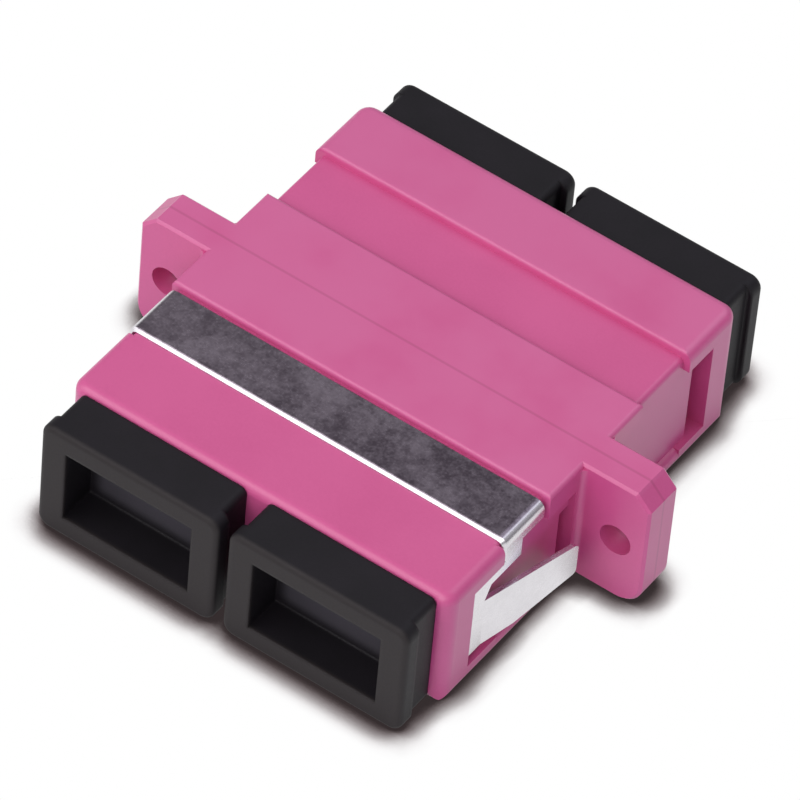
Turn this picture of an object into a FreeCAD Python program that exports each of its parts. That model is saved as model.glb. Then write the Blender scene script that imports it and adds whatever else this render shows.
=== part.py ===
import FreeCAD, Part
import math
import os

# Two-port fibre adapter with a mounting flange, a panel clip and four dust caps.
# X runs across the flange, Y along the fibres and Z up. The origin is on the seam between the two
# housing halves, in the middle of the flat bottom. Sizes are in millimetres.
# Each end is built towards +Y, with "out" as the distance from the seam, and the front is mirrored.

Vector = FreeCAD.Vector

# Housing
body_width = 25.7
body_height = 8.8
half_length = 13.9
shoulder_radius = 0.3
foot_radius = 0.5
nose_radius = 0.65
nose_corner_radius = 0.9
port_face_radius = 0.46
band_edge_radius = 0.35
step_edge_radius = 0.25

# Front half: a shoulder beside the flange, then a lowered deck that the clip lies on
front_shoulder_out = 4.5
deck_drop = 0.42

# Rear half: a shoulder, a channel across the top and a full-height pad
rear_shoulder_out = 4.4
channel_width = 4.65
channel_drop = 0.5

# Side pockets, the same in both halves, with a deeper slot at the outer end
pocket_start_out = 1.85
pocket_end_out = 11.45
pocket_depth = 0.42
ledge_height = 1.05
pocket_roof = 1.35
slot_depth = 1.45
slot_length = 1.35

# Slots at the inner ends of the front half's pockets, beside the tips of the clip's fingers
tip_slot_depth = 1.25
tip_slot_length = 0.85
tip_slot_drop = 1.4

# Flange, half of it on each housing
flange_width = 34.7
flange_half_thickness = 1.35
flange_chamfer = 0.98
flange_foot_radius = 1.6
flange_edge_bevel = 0.16
flange_corner_radius = 0.4
screw_spacing = 30.7
screw_hole_diameter = 2.05

# Ports
port_pitch = 12.7
port_axis_height = 4.28
port_width = 9.1
port_height = 7.4
port_corner_radius = 0.3
key_width = 2.4
key_depth = 0.3
key_length = 7.0

# Split sleeves
sleeve_length = 11.4
sleeve_outside = 3.2
sleeve_inside = 2.5
sleeve_slit = 0.3
sleeve_clearance = 0.05

# Latch inserts
base_width = 10.3
base_height = 7.2
base_thickness = 1.3
base_clearance = 0.05
barrel_wall = 0.55
barrel_lip = 0.45
lip_opening = 2.7
hook_spacing = 5.4
hook_thickness = 0.7
hook_height = 3.4
hook_reach_past_barrel = 1.9
hook_nose_length = 1.3
hook_nose_flat = 0.5
hook_nose_reach = 0.6

# Panel clip, folded from one strip
clip_thickness = 0.3
clip_strip_width = 3.93
clip_shoulder_gap = 0.2
clip_nose_gap = 0.07
clip_edge_bevel = 0.2
clip_bend_radius = 0.3
clip_side_gap = 0.03
lip_drop = 1.12
arm_inset = 2.2
arm_height = 0.75
arm_top_gap = 0.05
root_length = 1.1
root_end_gap = 0.12
root_floor_gap = 0.7
window_slant_length = 0.55
window_slant_drop = 0.9
finger_length = 6.9
finger_spread = 1.5
finger_tip_height = 2.3
finger_tip_rise = 0.95
finger_taper_start = 2.4
finger_tip_radius = 0.35

# Dust caps
cap_plate_width = 12.05
cap_plate_drop = 0.2
cap_plate_foot = 0.08
cap_plate_thickness = 1.1
cap_plate_corner = 0.8
cap_edge_radius = 0.35
cap_stand_off = 3.2
cap_seat_gap = 0.05
collar_width = 11.3
collar_corner = 0.45
plug_clearance = 0.07
plug_length = 5.0
plug_wall = 0.8
plug_corner = 0.4
plug_lead_in = 0.3
recess_width = 8.6
recess_height = 5.2
recess_drop = 0.15
recess_depth = 2.6
cap_web = 1.0

# Places that several pieces share
half_width = body_width / 2
pocket_x = half_width - pocket_depth
deck_height = body_height - deck_drop
clip_start_out = front_shoulder_out + clip_shoulder_gap
clip_end_out = clip_start_out + clip_strip_width
deck_band_end = clip_end_out + clip_nose_gap
channel_end = rear_shoulder_out + channel_width
cap_low = cap_plate_foot
cap_high = deck_height - cap_plate_drop
barrel_end = sleeve_length / 2 + sleeve_clearance + barrel_lip
barrel_radius = sleeve_outside / 2 + sleeve_clearance + barrel_wall
port_x = port_pitch / 2
beyond = 1.0
tolerance = 1e-6


def box(x0, x1, y0, y1, z0, z1):
    """A box between two corners."""
    return Part.makeBox(x1 - x0, y1 - y0, z1 - z0, Vector(x0, y0, z0))


def along_y(edge):
    """True for a straight edge that runs along the fibre axis."""
    size = edge.BoundBox
    return size.YLength > tolerance and max(size.XLength, size.ZLength) < tolerance


def on_plane_y(edge, y):
    """True for an edge that lies wholly at one distance from the seam."""
    size = edge.BoundBox
    return max(abs(size.YMin - y), abs(size.YMax - y)) < tolerance


def soft_block(width, y0, y1, z0, z1, radius):
    """A centred block whose four long edges are rounded."""
    block = box(-width / 2, width / 2, y0, y1, z0, z1)
    return block.makeFillet(radius, [e for e in block.Edges if along_y(e)])


def round_rim(solid, y, radius):
    """Round every edge of a solid that lies on the plane at y."""
    return solid.makeFillet(radius, [e for e in solid.Edges if on_plane_y(e, y)])


def bevel_rim(solid, y, size):
    """Bevel every edge of a solid that lies on the plane at y."""
    return solid.makeChamfer(size, [e for e in solid.Edges if on_plane_y(e, y)])


def edge_waste(along_x, y, across, y_side, across_side, radius):
    """What rounding takes off an edge along X at a height of across, or along Z at X = across."""
    y_in = y - y_side * radius
    y_out = y + y_side * beyond
    across_in = across - across_side * radius
    across_out = across + across_side * beyond
    slope = radius * math.sqrt(0.5)

    def at(out, over):
        return Vector(-body_width, out, over) if along_x else Vector(over, out, -beyond)

    corners = [
        at(y_in, across),
        at(y_in, across_out),
        at(y_out, across_out),
        at(y_out, across_in),
        at(y, across_in),
    ]
    edges = [Part.LineSegment(a, b).toShape() for a, b in zip(corners, corners[1:])]
    middle = at(y_in + y_side * slope, across_in + across_side * slope)
    edges.append(Part.Arc(corners[-1], middle, corners[0]).toShape())
    length = Vector(2 * body_width, 0, 0) if along_x else Vector(0, 0, body_height + 2 * beyond)
    return Part.Face(Part.Wire(edges)).extrude(length)


def soft_prism(width, height, radius, y0, y1):
    """A prism along Y with a round-cornered section, centred on the port axis at X = 0."""
    low = port_axis_height - height / 2
    return soft_block(width, y0, y1, low, low + height, radius)


def centred_box(width, height, y0, y1):
    """A box along Y, centred on the port axis at X = 0."""
    low = port_axis_height - height / 2
    return box(-width / 2, width / 2, y0, y1, low, low + height)


def rod(radius, y0, y1, x=0.0, z=port_axis_height):
    """A cylinder along Y."""
    return Part.makeCylinder(radius, y1 - y0, Vector(x, y0, z), Vector(0, 1, 0))


def sheet_in_side_view(points, x0, x1):
    """A plate from X = x0 to x1 with an outline of (out, height) points."""
    corners = [Vector(x0, out, height) for out, height in points]
    face = Part.Face(Part.makePolygon(corners + corners[:1]))
    return face.extrude(Vector(x1 - x0, 0, 0))


def mirror_x(shape):
    """The same shape on the other side of the middle plane."""
    return shape.mirror(Vector(0, 0, 0), Vector(1, 0, 0))


def mirror_to_front(shape):
    """The same shape on the other side of the seam."""
    return shape.mirror(Vector(0, 0, 0), Vector(0, 1, 0))


def joined(shapes):
    """One solid made of shapes that touch or overlap."""
    return shapes[0].multiFuse(shapes[1:]).removeSplitter()


def flange():
    """Half of the flange: chamfered top corners, rounded feet and two screw holes."""
    x = flange_width / 2
    top = body_height
    foot = flange_foot_radius
    dip = foot * (1 - math.sqrt(0.5))
    points = {
        "left_foot": Vector(-x + foot, 0, 0),
        "right_foot": Vector(x - foot, 0, 0),
        "right_low": Vector(x, 0, foot),
        "right_high": Vector(x, 0, top - flange_chamfer),
        "right_top": Vector(x - flange_chamfer, 0, top),
        "left_top": Vector(-x + flange_chamfer, 0, top),
        "left_high": Vector(-x, 0, top - flange_chamfer),
        "left_low": Vector(-x, 0, foot),
    }
    names = list(points)
    edges = []
    for start, end in zip(names, names[1:] + names[:1]):
        a = points[start]
        b = points[end]
        if {start, end} in ({"right_foot", "right_low"}, {"left_low", "left_foot"}):
            side = 1 if start.startswith("right") else -1
            edges.append(Part.Arc(a, Vector(side * (x - dip), 0, dip), b).toShape())
        else:
            edges.append(Part.LineSegment(a, b).toShape())
    plate = Part.Face(Part.Wire(edges)).extrude(Vector(0, flange_half_thickness, 0))
    plate = bevel_rim(plate, flange_half_thickness, flange_edge_bevel)
    hole_end = flange_half_thickness + beyond
    for x_hole in (-screw_spacing / 2, screw_spacing / 2):
        hole = rod(screw_hole_diameter / 2, -beyond, hole_end, x_hole, body_height / 2)
        plate = plate.cut(hole)
    return plate


def flange_corner():
    """The small round fill where the right end of the flange meets the body's side."""
    fill = edge_waste(False, flange_half_thickness, half_width, -1, -1, flange_corner_radius)
    high = body_height - shoulder_radius
    return fill.common(box(0, flange_width, 0, half_length, shoulder_radius, high))


def side_pocket(top):
    """What is cut from the right side, up to top: a pocket with a deeper slot at its outer end."""
    outside = half_width + beyond
    pocket = box(pocket_x, outside, pocket_start_out, pocket_end_out, ledge_height, top)
    slot_start = pocket_end_out - slot_length
    slot = box(half_width - slot_depth, outside, slot_start, pocket_end_out, ledge_height, top)
    return pocket.fuse(slot)


def tip_slot():
    """What is cut from the floor of the front half's right pocket, beside the finger's tip."""
    end = pocket_start_out + tip_slot_length
    top = deck_height - pocket_roof - tip_slot_drop
    return box(half_width - tip_slot_depth, half_width, pocket_start_out, end, ledge_height, top)


def port_cut():
    """The inside of a port at X = 0: the seat for a latch insert, the port and its key slot."""
    seat_width = base_width + 2 * base_clearance
    seat_height = base_height + 2 * base_clearance
    seat = centred_box(seat_width, seat_height, -beyond, base_thickness)
    end = half_length + beyond
    opening = soft_prism(port_width, port_height, port_corner_radius, base_thickness, end)
    key_low = port_axis_height - port_height / 2 - key_depth
    key_start = half_length - key_length
    key = box(-key_width / 2, key_width / 2, key_start, end, key_low, port_axis_height)
    return seat.fuse(opening).fuse(key)


def nose_block(start, height):
    """The outer end of the body: rounded below, up its two outer corners and then round its top."""
    nose = box(-half_width, half_width, start, half_length, 0, height)
    feet = [e for e in nose.Edges if along_y(e) and e.BoundBox.ZMax < tolerance]
    nose = nose.makeFillet(foot_radius, feet)
    nose = nose.cut(edge_waste(True, half_length, 0, 1, -1, port_face_radius))
    for side in (-1, 1):
        nose = nose.cut(edge_waste(False, half_length, side * half_width, 1, side, nose_corner_radius))

    def on_top_rim(edge):
        size = edge.BoundBox
        return size.ZMin > height - tolerance and size.YMax > start + tolerance

    nose = nose.makeFillet(nose_radius, [e for e in nose.Edges if on_top_rim(e)])
    return nose.cut(edge_waste(True, start, height, -1, 1, step_edge_radius))


def housing_half(shoulder_out, band_end, band_height, nose_height):
    """Half of the shell: flange, shoulder, narrow band, nose and ledge, less the pockets and ports."""
    inside_flange = flange_half_thickness / 2
    shoulder = soft_block(body_width, inside_flange, shoulder_out, 0, body_height, shoulder_radius)
    pieces = [
        flange(),
        shoulder.cut(edge_waste(True, shoulder_out, body_height, 1, 1, step_edge_radius)),
        soft_block(2 * pocket_x, inside_flange, band_end + beyond, 0, band_height, band_edge_radius),
        nose_block(band_end, nose_height),
        soft_block(body_width, inside_flange, band_end + beyond, 0, ledge_height, foot_radius),
        flange_corner(),
        mirror_x(flange_corner()),
    ]
    shell = joined(pieces)
    pocket = side_pocket(nose_height - pocket_roof)
    cuts = [pocket, mirror_x(pocket)]
    for x in (-port_x, port_x):
        cuts.append(port_cut().translated(Vector(x, 0, 0)))
    for cut in cuts:
        shell = shell.cut(cut)
    return shell.removeSplitter()


def front_housing():
    """The near half, with a deck that is level with its nose, so that the clip can slide on."""
    half = housing_half(front_shoulder_out, deck_band_end, deck_height, deck_height)
    half = half.cut(tip_slot()).cut(mirror_x(tip_slot()))
    return mirror_to_front(half.removeSplitter())


def rear_housing():
    """The far half, with a channel between its shoulder and its full-height pad."""
    return housing_half(rear_shoulder_out, channel_end, body_height - channel_drop, body_height)


def clip_strip():
    """The top of the clip and its two bends, as one section carried along the strip's width."""
    inside = pocket_x + clip_side_gap
    outside = inside + clip_thickness
    bend_x = inside - clip_bend_radius
    bend_z = deck_height - clip_bend_radius
    top = deck_height + clip_thickness
    slope = math.sqrt(0.5)
    inner = clip_bend_radius * slope
    outer = (clip_bend_radius + clip_thickness) * slope

    def at(x, z):
        return Vector(x, clip_start_out, z)

    def line(a, b):
        return Part.LineSegment(a, b).toShape()

    def arc(a, mid, b):
        return Part.Arc(a, mid, b).toShape()

    edges = [
        arc(at(-outside, bend_z), at(-bend_x - outer, bend_z + outer), at(-bend_x, top)),
        line(at(-bend_x, top), at(bend_x, top)),
        arc(at(bend_x, top), at(bend_x + outer, bend_z + outer), at(outside, bend_z)),
        line(at(outside, bend_z), at(inside, bend_z)),
        arc(at(inside, bend_z), at(bend_x + inner, bend_z + inner), at(bend_x, deck_height)),
        line(at(bend_x, deck_height), at(-bend_x, deck_height)),
        arc(at(-bend_x, deck_height), at(-bend_x - inner, bend_z + inner), at(-inside, bend_z)),
        line(at(-inside, bend_z), at(-outside, bend_z)),
    ]
    return Part.Face(Part.Wire(edges)).extrude(Vector(0, clip_strip_width, 0))


def clip_finger(inside, root_out, low, high):
    """A tapered spring finger that is bent straight out from the side plate at root_out."""
    tip_out = root_out - finger_length
    tip_inside = inside + finger_spread
    tip_low = low + finger_tip_rise
    corners = [
        Vector(inside, root_out, low),
        Vector(tip_inside, tip_out, low),
        Vector(tip_inside + clip_thickness, tip_out, low),
        Vector(inside + clip_thickness, root_out, low),
    ]
    leaf = Part.Face(Part.makePolygon(corners + corners[:1])).extrude(Vector(0, 0, high - low))
    outline = sheet_in_side_view(
        [
            (root_out, low),
            (root_out - finger_taper_start, low),
            (tip_out, tip_low),
            (tip_out, tip_low + finger_tip_height),
            (root_out, high),
        ],
        inside - beyond,
        tip_inside + beyond,
    )
    finger = leaf.common(outline)
    tip_x = tip_inside + clip_thickness / 2

    def through_sheet_at_tip(edge):
        middle = edge.CenterOfMass
        return math.hypot(middle.x - tip_x, middle.y - tip_out) < clip_thickness / 4

    return finger.makeFillet(finger_tip_radius, [e for e in finger.Edges if through_sheet_at_tip(e)])


def clip_side():
    """The right side of the clip: a lip under the bend, an arm in the pocket, a root and a finger."""
    inside = pocket_x + clip_side_gap
    outside = inside + clip_thickness
    bend_z = deck_height - clip_bend_radius
    lip_low = deck_height + clip_thickness - lip_drop
    arm_top = deck_height - pocket_roof - arm_top_gap
    arm_low = arm_top - arm_height
    end = pocket_end_out - root_end_gap
    root_out = end - root_length
    root_low = ledge_height + root_floor_gap
    window_tip = arm_low - window_slant_drop
    plate = sheet_in_side_view(
        [
            (clip_start_out, bend_z),
            (clip_start_out, lip_low),
            (clip_start_out + arm_inset, lip_low),
            (clip_start_out + arm_inset, arm_low),
            (root_out - window_slant_length, arm_low),
            (root_out, window_tip),
            (root_out, root_low),
            (end, root_low),
            (end, arm_top),
            (clip_end_out, arm_top),
            (clip_end_out, bend_z),
        ],
        inside,
        outside,
    )
    return joined([plate, clip_finger(inside, root_out, root_low, window_tip)])


def panel_clip():
    """The folded clip over the front half."""
    side = clip_side()
    clip = joined([clip_strip(), side, mirror_x(side)])
    top = deck_height + clip_thickness

    def along_top(edge):
        size = edge.BoundBox
        return abs(size.ZMin - top) < tolerance and size.XLength > body_width / 2

    return mirror_to_front(clip.makeChamfer(clip_edge_bevel, [e for e in clip.Edges if along_top(e)]))


def latch_insert():
    """A base plate with a sleeve barrel and two hook arms, for the port at X = 0."""
    base = centred_box(base_width, base_height, 0, base_thickness)
    bore = rod(sleeve_outside / 2 + sleeve_clearance, -beyond, barrel_end - barrel_lip)
    mouth = rod(lip_opening / 2, 0, barrel_end + beyond)
    hook = hook_arm()
    body = joined([base, rod(barrel_radius, 0, barrel_end), hook, mirror_x(hook)])
    return body.cut(bore).cut(mouth)


def hook_arm():
    """The right hook arm: a flat spring with a ramped nose that points at the fibre axis."""
    inner = hook_spacing / 2
    outer = inner + hook_thickness
    tip = barrel_end + hook_reach_past_barrel
    catch = tip - hook_nose_length
    nose = inner - hook_nose_reach
    low = port_axis_height - hook_height / 2
    start = base_thickness / 2
    points = [
        (inner, start),
        (inner, catch),
        (nose, catch),
        (nose, catch + hook_nose_flat),
        (inner, tip),
        (outer, tip),
        (outer, start),
    ]
    corners = [Vector(x, out, low) for x, out in points]
    return Part.Face(Part.makePolygon(corners + corners[:1])).extrude(Vector(0, 0, hook_height))


def split_sleeve():
    """A split tube across the seam at X = 0, open along its top."""
    half = sleeve_length / 2
    tube = rod(sleeve_outside / 2, -half, half).cut(rod(sleeve_inside / 2, -half, half))
    top = port_axis_height + sleeve_outside
    return tube.cut(box(-sleeve_slit / 2, sleeve_slit / 2, -half, half, port_axis_height, top))


def dust_cap():
    """A dust cap for the port at X = 0: grip plate, collar and hollow plug, and a recess in the front."""
    seat = half_length + cap_seat_gap
    front = half_length + cap_stand_off
    plate_back = front - cap_plate_thickness
    plug_end = half_length - plug_length
    plug_width = port_width - 2 * plug_clearance
    plug_height = port_height - 2 * plug_clearance
    plate = soft_block(cap_plate_width, plate_back, front, cap_low, cap_high, cap_plate_corner)
    plate = round_rim(plate, front, cap_edge_radius)
    collar = soft_block(collar_width, seat, plate_back, cap_low, cap_high, collar_corner)
    plug = centred_box(plug_width, plug_height, plug_end, seat)
    plug = plug.makeChamfer(plug_corner, [e for e in plug.Edges if along_y(e)])
    plug = bevel_rim(plug, plug_end, plug_lead_in)
    recess_floor = front - recess_depth
    recess = centred_box(recess_width, recess_height, recess_floor, front + beyond)
    recess.translate(Vector(0, 0, -recess_drop))
    hollow_width = plug_width - 2 * plug_wall
    hollow_height = plug_height - 2 * plug_wall
    hollow_end = recess_floor - cap_web
    hollow = centred_box(hollow_width, hollow_height, plug_end - beyond, hollow_end)
    return joined([plate, collar, plug]).cut(recess).cut(hollow)


def all_parts():
    """Every piece by its node name."""
    parts = {
        "front_housing": front_housing(),
        "rear_housing": rear_housing(),
        "panel_clip": panel_clip(),
    }
    for side, x in (("left", -port_x), ("right", port_x)):
        place = Vector(x, 0, 0)
        parts[f"{side}_sleeve"] = split_sleeve().translated(place)
        for name, piece in (("latch", latch_insert()), ("cap", dust_cap())):
            parts[f"rear_{side}_{name}"] = piece.translated(place)
            parts[f"front_{side}_{name}"] = mirror_to_front(piece).translated(place)
    return parts


os.makedirs("parts", exist_ok=True)
for node, shape in all_parts().items():
    if len(shape.Solids) != 1 or not shape.isValid():
        raise RuntimeError(f"{node} is not one valid solid")
    shape.Solids[0].exportStep(f"parts/{node}.step")
    print(f"{node}: {shape.Volume:.2f} mm3")
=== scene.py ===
"""The looks of a two-port fibre adapter: a moulded shell, a folded steel clip and four dust caps."""

import logging
import math
from dataclasses import dataclass
from enum import Enum
from typing import Union

import bpy
from mathutils import Matrix, Vector


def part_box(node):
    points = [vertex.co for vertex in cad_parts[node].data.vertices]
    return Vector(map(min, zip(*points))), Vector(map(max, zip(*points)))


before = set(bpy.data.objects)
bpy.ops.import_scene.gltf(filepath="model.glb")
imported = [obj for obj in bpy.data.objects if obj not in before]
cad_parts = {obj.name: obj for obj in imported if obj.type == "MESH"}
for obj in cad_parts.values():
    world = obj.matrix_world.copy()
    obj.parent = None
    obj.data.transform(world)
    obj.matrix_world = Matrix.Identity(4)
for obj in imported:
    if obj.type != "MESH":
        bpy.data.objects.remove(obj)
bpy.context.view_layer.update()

log = logging.getLogger("adapter")
Colour = tuple[float, float, float]
Range = tuple[float, float]
Stops = tuple[tuple[float, Colour], ...]
Value = Union["Socket", float, tuple]

MILLIMETRE = 0.001
PHOTO_PIXELS = 800
EDGE_SAMPLES = 8

WHITE: Colour = (1.0, 1.0, 1.0)
WARM: Colour = (1.0, 0.98, 0.98)
ROSE: Colour = (1.0, 0.98, 1.0)
COOL: Colour = (0.84, 0.86, 1.0)

# Noise keeps close to its middle, and this span stretches it to its full contrast.
NOISE_MIDDLE = 0.5
NOISE_SPAN: Range = (0.3, 0.7)

# The contact shadow's tones, from a closed-in point of the floor to an open one.
SHADOW_STOPS: Stops = (
    (0.50, (0.036, 0.027, 0.028)),
    (0.55, (0.052, 0.039, 0.040)),
    (0.62, (0.120, 0.097, 0.099)),
    (0.725, (0.262, 0.232, 0.236)),
    (0.80, (0.450, 0.420, 0.425)),
    (0.86, (0.740, 0.715, 0.720)),
    (0.92, (0.940, 0.925, 0.930)),
    (0.97, WHITE),
)


class Piece(Enum):
    """The kinds of sub-part, each with the word that its node names end in."""

    SHELL = "housing"
    CLIP = "clip"
    CAP = "cap"
    LATCH = "latch"
    SLEEVE = "sleeve"

    def names(self) -> list[str]:
        """The names of the frame's nodes of this kind, in order."""
        return [name for name in sorted(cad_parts) if name.endswith(self.value)]

    def nodes(self) -> list[bpy.types.Object]:
        """The frame's objects of this kind, in the order of their names."""
        return [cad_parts[name] for name in self.names()]

    def box(self) -> tuple[Vector, Vector]:
        """The lowest and highest corners of the last node of this kind, such as the rear right cap."""
        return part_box(self.names()[-1])


class Socket:
    """One output of a shader node, with Python's operators for maths on values."""

    def __init__(self, shader: "Shader", output: bpy.types.NodeSocket) -> None:
        """Keep the output and the shader that it belongs to.

        Args:
            shader: The shader that new nodes go into.
            output: The node's output socket.
        """
        self.shader = shader
        self.output = output

    def maths(self, operation: str, first: Value, second: Value) -> "Socket":
        """A Math node on two values.

        Args:
            operation: Blender's name of the operation.
            first: The left operand.
            second: The right operand.

        Returns:
            The result's socket.
        """
        return self.shader.node("ShaderNodeMath", {"operation": operation}, {0: first, 1: second})

    def __add__(self, other: Value) -> "Socket":
        """self + other."""
        return self.maths("ADD", self, other)

    def __radd__(self, other: Value) -> "Socket":
        """other + self."""
        return self.maths("ADD", other, self)

    def __sub__(self, other: Value) -> "Socket":
        """self - other."""
        return self.maths("SUBTRACT", self, other)

    def __rsub__(self, other: Value) -> "Socket":
        """other - self."""
        return self.maths("SUBTRACT", other, self)

    def __mul__(self, other: Value) -> "Socket":
        """self * other."""
        return self.maths("MULTIPLY", self, other)

    def __rmul__(self, other: Value) -> "Socket":
        """other * self."""
        return self.maths("MULTIPLY", other, self)

    def __abs__(self) -> "Socket":
        """The value without its sign."""
        return self.maths("ABSOLUTE", self, 0.0)

    def within(self, middle: float, reach: float, soft: float) -> "Socket":
        """1 where the value lies near a middle and 0 elsewhere.

        Args:
            middle: The value at the centre.
            reach: How far from the middle the band ends.
            soft: The width of the step at each end.

        Returns:
            The band's socket.
        """
        return 1.0 - abs(self - middle).span(reach, reach + soft)

    def span(self, low: float, high: float) -> "Socket":
        """0 below low, 1 above high and a smooth step between.

        Args:
            low: The value that becomes 0.
            high: The value that becomes 1.

        Returns:
            The stepped value's socket.
        """
        settings = {"interpolation_type": "SMOOTHSTEP"}
        return self.shader.node("ShaderNodeMapRange", settings, {0: self, 1: low, 2: high})


class Shader:
    """A node tree that is being written, for a material or for the world."""

    def __init__(self, tree: bpy.types.NodeTree) -> None:
        """Empty the tree.

        Args:
            tree: The node tree of a material or of the world.
        """
        self.tree = tree
        self.tree.nodes.clear()

    @classmethod
    def material(cls, name: str) -> tuple["Shader", bpy.types.Material]:
        """A new material and its empty shader.

        Args:
            name: The material's name.

        Returns:
            The shader and the material.
        """
        made = bpy.data.materials.new(name)
        made.use_nodes = True
        return cls(made.node_tree), made

    def node(self, kind: str, settings: dict, inputs: dict, output: Union[int, str] = 0) -> Socket:
        """Add any node.

        Args:
            kind: Blender's type name of the node.
            settings: The node's own settings, set before its sockets; "stops" are a ramp's stops.
            inputs: Values or links by the socket's index or name.
            output: The output that is returned.

        Returns:
            The chosen output.
        """
        made = self.tree.nodes.new(kind)
        for name, value in settings.items():
            if name == "stops":
                self.set_stops(made.color_ramp, value)
            else:
                setattr(made, name, value)
        for key, value in inputs.items():
            if isinstance(value, Socket):
                self.tree.links.new(value.output, made.inputs[key])
            else:
                made.inputs[key].default_value = value
        return Socket(self, made.outputs[output] if len(made.outputs) else None)

    @staticmethod
    def set_stops(ramp: bpy.types.ColorRamp, stops: Stops) -> None:
        """Give a ramp its stops.

        Args:
            ramp: The ramp, which starts with two stops.
            stops: At least two pairs of place and colour.
        """
        while len(ramp.elements) < len(stops):
            ramp.elements.new(1.0)
        for element, (place, colour) in zip(ramp.elements, stops):
            element.position = place
            element.color = (*colour, 1.0)

    def place(self) -> Socket:
        """The point on the piece, in metres in the part's frame."""
        return self.node("ShaderNodeTexCoord", {}, {}, "Object")

    def axes(self) -> list[Socket]:
        """The three coordinates of the point on the piece, in metres."""
        point = self.place()
        return [self.node("ShaderNodeSeparateXYZ", {}, {0: point}, axis) for axis in "XYZ"]

    def noise(self, size: float, detail: float = 3.0) -> Socket:
        """Smooth noise from 0 to 1.

        Args:
            size: The size of its features in metres.
            detail: How many finer layers it has.

        Returns:
            The noise value.
        """
        inputs = {"Vector": self.place(), "Scale": 1 / size, "Detail": detail}
        return self.node("ShaderNodeTexNoise", {}, inputs, "Fac")

    def mix(self, share: Value, first: Value, second: Value) -> Socket:
        """A mix of two colours.

        Args:
            share: How much of the second colour there is, from 0 to 1.
            first: The colour at 0.
            second: The colour at 1.

        Returns:
            The mixed colour.
        """
        colours = [(*c, 1.0) if isinstance(c, tuple) and len(c) == 3 else c for c in (first, second)]
        inputs = {0: share, 6: colours[0], 7: colours[1]}
        return self.node("ShaderNodeMix", {"data_type": "RGBA"}, inputs, 2)

    def bump(self, height: Socket, distance: float, round_edges: float = 0.0) -> Socket:
        """A normal from a height.

        Args:
            height: The height from 0 to 1.
            distance: The depth in metres that a height of 1 stands for.
            round_edges: The radius in metres that sharp edges look rounded by.

        Returns:
            The bumped normal.
        """
        inputs = {"Height": height, "Distance": distance}
        if round_edges:
            settings = {"samples": EDGE_SAMPLES}
            inputs["Normal"] = self.node("ShaderNodeBevel", settings, {"Radius": round_edges})
        return self.node("ShaderNodeBump", {}, inputs)

    def surface(self, inputs: dict) -> None:
        """End the tree in a Principled surface.

        Args:
            inputs: Values or links by the socket's name.
        """
        colours = {k: (*v, 1.0) if isinstance(v, tuple) else v for k, v in inputs.items()}
        shaded = self.node("ShaderNodeBsdfPrincipled", {}, colours)
        self.node("ShaderNodeOutputMaterial", {}, {"Surface": shaded})


@dataclass(frozen=True)
class MouldedShell:
    """Satin moulded plastic with a fine grain, slow clouds of tone and a painted sheen that makes the
    raised faces paler.
    """

    deep: Colour = (0.615, 0.088, 0.262)
    pale: Colour = (0.655, 0.104, 0.288)
    # Paler, greyer colour of the painted sheen on the raised faces.
    painted_light: Colour = (0.650, 0.128, 0.312)
    painted_light_span: Range = (0.1, 0.6)
    raised_drop: float = 0.2 * MILLIMETRE
    raised_soft: float = 0.15 * MILLIMETRE
    cloud_size: float = 6.0 * MILLIMETRE
    cloud_share: float = 0.7
    grain_size: float = 0.16 * MILLIMETRE
    grain_share: float = 0.3
    grain_depth: float = 0.004 * MILLIMETRE
    roughness: float = 0.36
    roughness_swing: float = 0.10
    gloss: float = 0.68
    seam_half: float = 0.03 * MILLIMETRE
    seam_soft: float = 0.10 * MILLIMETRE
    seam_depth: float = 0.22
    seam_colour: Colour = (0.2, 0.01, 0.05)

    def material(self) -> bpy.types.Material:
        """Write the shell's material, with the seam across the part's origin.

        Returns:
            The material.
        """
        shader, made = Shader.material("moulded_shell")
        clouds = shader.noise(self.cloud_size)
        grain = shader.noise(self.grain_size)
        tone = (clouds * self.cloud_share + grain * self.grain_share).span(*NOISE_SPAN)
        _, along, height = shader.axes()
        seam = along.within(0.0, self.seam_half, self.seam_soft)
        # Painted sheen: the highest faces are mixed towards a paler colour in cloudy patches, in place
        # of the haze of light they reflect.
        raised_height = Piece.SHELL.box()[1].z - self.raised_drop
        raised = height.span(raised_height, raised_height + self.raised_soft)
        moulded = shader.mix(tone, self.deep, self.pale)
        with_painted_sheen = shader.mix(raised * clouds.span(*self.painted_light_span), moulded, self.painted_light)
        shader.surface(
            {
                "Base Color": shader.mix(seam * self.seam_depth, with_painted_sheen, self.seam_colour),
                "Roughness": self.roughness + self.roughness_swing * (grain - NOISE_MIDDLE),
                "Specular IOR Level": self.gloss,
                "Normal": shader.bump(grain, self.grain_depth),
            }
        )
        return made


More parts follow.
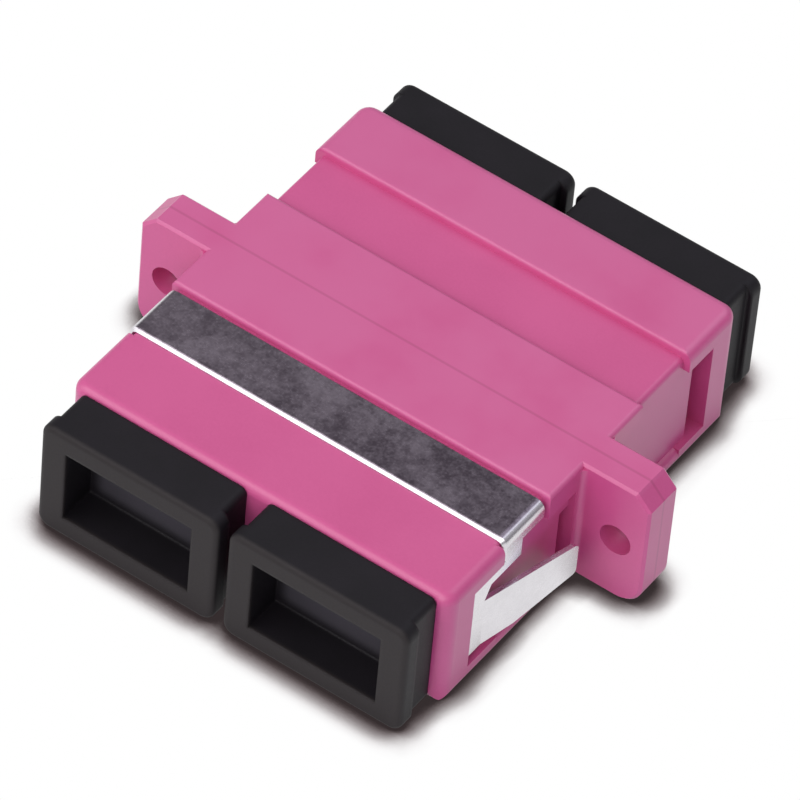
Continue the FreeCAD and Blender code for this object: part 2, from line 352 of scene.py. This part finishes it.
@dataclass(frozen=True)
class RolledSteel:
    """Spring steel: bright bent sides and edges, and a mottled top face with a painted dark reflection.
    """

    bright_low: Colour = (0.68, 0.66, 0.69)
    bright_high: Colour = (0.74, 0.72, 0.75)
    # Dark tones of the top face: a painted dark reflection over a real mottle.
    shaded_top_low: Colour = (0.105, 0.085, 0.103)
    shaded_top_high: Colour = (0.29, 0.25, 0.285)
    top_drop: float = 0.08 * MILLIMETRE
    top_soft: float = 0.06 * MILLIMETRE
    blotch_size: float = 2.2 * MILLIMETRE
    blotch_share: float = 0.4
    mottle_size: float = 0.45 * MILLIMETRE
    mottle_share: float = 0.35
    speck_size: float = 0.16 * MILLIMETRE
    speck_share: float = 0.25
    tone_span: Range = (0.32, 0.68)
    roughness: float = 0.26
    roughness_swing: float = 0.08
    frost_depth: float = 0.002 * MILLIMETRE
    strip_half: float = 12.6 * MILLIMETRE
    # How much painted shade darkens the top face from the left end to the right.
    shade_drift: float = 0.2

    def material(self) -> bpy.types.Material:
        """Write the clip's material, whose top face carries painted shade that darkens it from the left
        end to the right.

        Returns:
            The material.
        """
        shader, made = Shader.material("rolled_steel")
        blotches = shader.noise(self.blotch_size, detail=2.0)
        mottle = shader.noise(self.mottle_size, detail=4.0)
        specks = shader.noise(self.speck_size, detail=2.0)
        across, _, height = shader.axes()
        # Painted reflection: the top face is painted dark, standing in for the dim surroundings that it
        # mirrors.
        top_height = Piece.CLIP.box()[1].z - self.top_drop
        top_shade_mask = height.span(top_height, top_height + self.top_soft)
        spots = blotches * self.blotch_share + mottle * self.mottle_share + specks * self.speck_share
        tone = spots.span(*self.tone_span)
        bright = shader.mix(tone, self.bright_low, self.bright_high)
        # Painted shade: the top face darkens towards the right end.
        shaded_top = shader.mix(tone - across * (self.shade_drift / self.strip_half), self.shaded_top_low, self.shaded_top_high)
        shader.surface(
            {
                "Base Color": shader.mix(top_shade_mask, bright, shaded_top),
                "Metallic": 1.0,
                "Roughness": self.roughness + self.roughness_swing * (specks - NOISE_MIDDLE),
                "Normal": shader.bump(mottle, self.frost_depth),
            }
        )
        return made


@dataclass(frozen=True)
class BlackCap:
    """Soft black moulded plastic with a faint grain, with painted light that makes its front and its
    recess's floor greyer.
    """

    deep: Colour = (0.0045, 0.0034, 0.0052)
    pale: Colour = (0.0075, 0.0056, 0.0084)
    # Grey painted light on the recess's floor.
    painted_light: Colour = (0.048, 0.044, 0.052)
    # Grey painted light on the plate's front and rim.
    lit_front: Colour = (0.018, 0.0142, 0.0144)
    cloud_size: float = 4.0 * MILLIMETRE
    grain_size: float = 0.14 * MILLIMETRE
    grain_depth: float = 0.005 * MILLIMETRE
    roughness: float = 0.58
    roughness_swing: float = 0.12
    gloss: float = 0.32
    edge_round: float = 0.28 * MILLIMETRE
    lit_front_depth: Range = (0.4 * MILLIMETRE, 0.05 * MILLIMETRE)
    recess_depth: float = 2.6 * MILLIMETRE
    floor_half: float = 0.1 * MILLIMETRE
    floor_soft: float = 0.04 * MILLIMETRE
    painted_light_half: Range = (3.3 * MILLIMETRE, 1.6 * MILLIMETRE)
    painted_light_fade: float = 1.0 * MILLIMETRE

    def material(self) -> bpy.types.Material:
        """Write the caps' material, alike on all four because they mirror each other.

        Returns:
            The material.
        """
        shader, made = Shader.material("black_cap")
        clouds = shader.noise(self.cloud_size)
        grain = shader.noise(self.grain_size)
        x, y, z = shader.axes()
        low, high = Piece.CAP.box()
        middle = (low + high) / 2
        inside = abs(x).within(middle.x, self.painted_light_half[0], self.painted_light_fade)
        inside = inside * z.within(middle.z, self.painted_light_half[1], self.painted_light_fade)
        # Painted light: the recess's floor is made greyer than its walls.
        floor = inside * abs(y).within(high.y - self.recess_depth, self.floor_half, self.floor_soft)
        # Painted light: the plate's front and rim are made greyer than the rest.
        front = abs(y).span(*(high.y - depth for depth in self.lit_front_depth))
        moulded = shader.mix(clouds.span(*NOISE_SPAN), self.deep, self.pale)
        black = shader.mix(front, moulded, self.lit_front)
        shader.surface(
            {
                "Base Color": shader.mix(floor, black, self.painted_light),
                "Roughness": self.roughness + self.roughness_swing * (grain - NOISE_MIDDLE),
                "Specular IOR Level": self.gloss,
                "Normal": shader.bump(grain, self.grain_depth, round_edges=self.edge_round),
            }
        )
        return made


@dataclass(frozen=True)
class NaturalLatch:
    """Uncoloured moulded plastic of the latch inserts."""

    deep: Colour = (0.66, 0.63, 0.56)
    pale: Colour = (0.78, 0.76, 0.70)
    cloud_size: float = 2.0 * MILLIMETRE
    roughness: float = 0.40
    roughness_swing: float = 0.1

    def material(self) -> bpy.types.Material:
        """Write the latch inserts' material.

        Returns:
            The material.
        """
        shader, made = Shader.material("natural_latch")
        clouds = shader.noise(self.cloud_size)
        shader.surface(
            {
                "Base Color": shader.mix(clouds.span(*NOISE_SPAN), self.deep, self.pale),
                "Roughness": self.roughness + self.roughness_swing * clouds,
            }
        )
        return made


@dataclass(frozen=True)
class WhiteCeramic:
    """Polished white ceramic of the split sleeves."""

    deep: Colour = (0.80, 0.79, 0.76)
    pale: Colour = (0.88, 0.87, 0.85)
    cloud_size: float = 1.2 * MILLIMETRE
    roughness: float = 0.12
    roughness_swing: float = 0.06

    def material(self) -> bpy.types.Material:
        """Write the sleeves' material.

        Returns:
            The material.
        """
        shader, made = Shader.material("white_ceramic")
        clouds = shader.noise(self.cloud_size, detail=2.0)
        shader.surface(
            {
                "Base Color": shader.mix(clouds.span(*NOISE_SPAN), self.deep, self.pale),
                "Roughness": self.roughness + self.roughness_swing * clouds,
            }
        )
        return made


Finish = Union[MouldedShell, RolledSteel, BlackCap, NaturalLatch, WhiteCeramic]


@dataclass(frozen=True)
class Dressing:
    """One kind of sub-part and the finish that it wears."""

    piece: Piece
    finish: Finish

    def dress(self) -> None:
        """Put the finish on every node of this kind."""
        material = self.finish.material()
        for node in self.piece.nodes():
            for slot in node.material_slots:
                slot.material = material
            log.info("%s wears %s", node.name, material.name)


@dataclass(frozen=True)
class Lamp:
    """One square soft lamp that looks at the part: degrees, metres and watts."""

    name: str
    azimuth: float
    elevation: float
    distance: float
    side: float
    power: float
    colour: Colour


LAMPS = (
    Lamp("key", azimuth=12.0, elevation=34.0, distance=0.40, side=0.30, power=0.60, colour=WARM),
    Lamp("edge", azimuth=-36.0, elevation=50.0, distance=0.40, side=0.24, power=0.40, colour=ROSE),
    Lamp("side", azimuth=-58.0, elevation=16.0, distance=0.45, side=0.30, power=0.32, colour=ROSE),
    Lamp("fill", azimuth=165.0, elevation=55.0, distance=0.50, side=0.30, power=0.34, colour=COOL),
)


@dataclass(frozen=True)
class Studio:
    """A white floor, dim surroundings, soft lamps and the camera, in degrees and metres."""

    azimuth: float = 31.64
    elevation: float = 47.2
    roll: float = 5.5
    aim: tuple[float, float, float] = (-0.02 * MILLIMETRE, -0.19 * MILLIMETRE, 4.2 * MILLIMETRE)
    distance: float = 484.0 * MILLIMETRE
    focal_pixels: float = 8710.0
    clip: Range = (0.01, 20.0)
    floor_side: float = 6.0
    floor_tone: Colour = (0.56, 0.52, 0.72)
    shadow_reach: float = 2.0 * MILLIMETRE
    shadow_samples: int = 16
    shadow_stops: Stops = SHADOW_STOPS
    mirror_fade: float = 0.45
    ceiling: float = 0.53
    horizon: float = 0.28
    sky_span: Range = (0.25, 0.60)
    sky_tint: Colour = (0.96, 0.94, 1.0)
    lamps: tuple[Lamp, ...] = LAMPS

    @staticmethod
    def towards(azimuth: float, elevation: float) -> Vector:
        """The direction from the part to a place seen at an azimuth and elevation.

        Args:
            azimuth: Degrees round from the front towards the right.
            elevation: Degrees above the floor.

        Returns:
            A unit vector.
        """
        a, e = math.radians(azimuth), math.radians(elevation)
        return Vector((math.sin(a) * math.cos(e), -math.cos(a) * math.cos(e), math.sin(e)))

    def looking(self, azimuth: float, elevation: float, distance: float, roll: float = 0.0) -> Matrix:
        """The matrix of a camera or lamp that looks at the aim.

        Args:
            azimuth: Degrees round from the front towards the right.
            elevation: Degrees above the floor.
            distance: How far it stands from the aim.
            roll: Degrees that it is turned about its own axis.

        Returns:
            Its world matrix.
        """
        back = self.towards(azimuth, elevation)
        turn = back.to_track_quat("Z", "Y").to_matrix().to_4x4()
        spin = Matrix.Rotation(math.radians(roll), 4, "Z")
        return Matrix.Translation(Vector(self.aim) + back * distance) @ turn @ spin

    def add_camera(self) -> None:
        """Stand the camera where the photograph was taken from."""
        data = bpy.data.cameras.new("camera")
        data.lens = self.focal_pixels * data.sensor_width / PHOTO_PIXELS
        data.clip_start, data.clip_end = self.clip
        camera = bpy.data.objects.new("camera", data)
        camera.matrix_world = self.looking(self.azimuth, self.elevation, self.distance, self.roll)
        bpy.context.scene.collection.objects.link(camera)
        bpy.context.scene.camera = camera

    def add_lamp(self, lamp: Lamp) -> None:
        """Hang one lamp.

        Args:
            lamp: The lamp's place, size and light.
        """
        data = bpy.data.lights.new(lamp.name, "AREA")
        data.size = lamp.side
        data.energy = lamp.power
        data.color = lamp.colour
        hung = bpy.data.objects.new(lamp.name, data)
        hung.matrix_world = self.looking(lamp.azimuth, lamp.elevation, lamp.distance)
        bpy.context.scene.collection.objects.link(hung)

    @staticmethod
    def seen(shader: Shader) -> Socket:
        """Tell what is looked at from the light that falls on things.

        Args:
            shader: The shader that the nodes go into.

        Returns:
            1 for rays from the camera, mirrors and glass, and 0 for others.
        """
        kinds = ("Is Camera Ray", "Is Glossy Ray", "Is Transmission Ray")
        rays = [shader.node("ShaderNodeLightPath", {}, {}, kind) for kind in kinds]
        return (rays[0] + rays[1] + rays[2]).span(0.0, 1.0)

    def add_world(self) -> None:
        """Light from all round, dim near the horizon and brighter overhead; white to the camera."""
        world = bpy.data.worlds.new("studio")
        bpy.context.scene.world = world
        world.use_nodes = True
        shader = Shader(world.node_tree)
        direction = shader.node("ShaderNodeTexCoord", {}, {}, "Generated")
        height = shader.node("ShaderNodeSeparateXYZ", {}, {0: direction}, "Z")
        camera = shader.node("ShaderNodeLightPath", {}, {}, "Is Camera Ray")
        sky = self.horizon + (self.ceiling - self.horizon) * height.span(*self.sky_span)
        strength = camera + (1.0 - camera) * sky
        tint = shader.mix(camera, self.sky_tint, WHITE)
        lit = shader.node("ShaderNodeBackground", {}, {"Color": tint, "Strength": strength})
        shader.node("ShaderNodeOutputWorld", {}, {"Surface": lit})

    def add_floor(self) -> None:
        """A white floor that shows the part's soft contact shadow."""
        half = self.floor_side / 2
        mesh = bpy.data.meshes.new("floor")
        corners = [(-half, -half, 0), (half, -half, 0), (half, half, 0), (-half, half, 0)]
        mesh.from_pydata(corners, [], [(0, 1, 2, 3)])
        floor = bpy.data.objects.new("floor", mesh)
        bpy.context.scene.collection.objects.link(floor)
        shader, made = Shader.material("floor")
        settings = {"samples": self.shadow_samples}
        reach = {"Distance": self.shadow_reach}
        open_sky = shader.node("ShaderNodeAmbientOcclusion", settings, reach, "AO")
        shade = shader.node("ShaderNodeValToRGB", {"stops": self.shadow_stops}, {0: open_sky})
        mirrored = shader.node("ShaderNodeLightPath", {}, {}, "Is Glossy Ray") * self.mirror_fade
        shade = shader.mix(mirrored, shade, WHITE)
        glow = shader.node("ShaderNodeEmission", {}, {"Color": shade})
        matte = shader.node("ShaderNodeBsdfDiffuse", {}, {"Color": (*self.floor_tone, 1.0)})
        both = shader.node("ShaderNodeMixShader", {}, {0: self.seen(shader), 1: matte, 2: glow})
        shader.node("ShaderNodeOutputMaterial", {}, {"Surface": both})
        mesh.materials.append(made)

    def build(self) -> None:
        """Set up everything round the part."""
        bpy.context.scene.view_settings.view_transform = "Standard"
        self.add_world()
        for lamp in self.lamps:
            self.add_lamp(lamp)
        self.add_floor()
        self.add_camera()


def main() -> None:
    """Dress every sub-part, then set up the studio."""
    logging.basicConfig(level=logging.INFO, format="%(name)s: %(message)s")
    dressings = [
        Dressing(Piece.SHELL, MouldedShell()),
        Dressing(Piece.CLIP, RolledSteel()),
        Dressing(Piece.CAP, BlackCap()),
        Dressing(Piece.LATCH, NaturalLatch()),
        Dressing(Piece.SLEEVE, WhiteCeramic()),
    ]
    for dressing in dressings:
        dressing.dress()
    Studio().build()


if __name__ == "__main__":
    main()
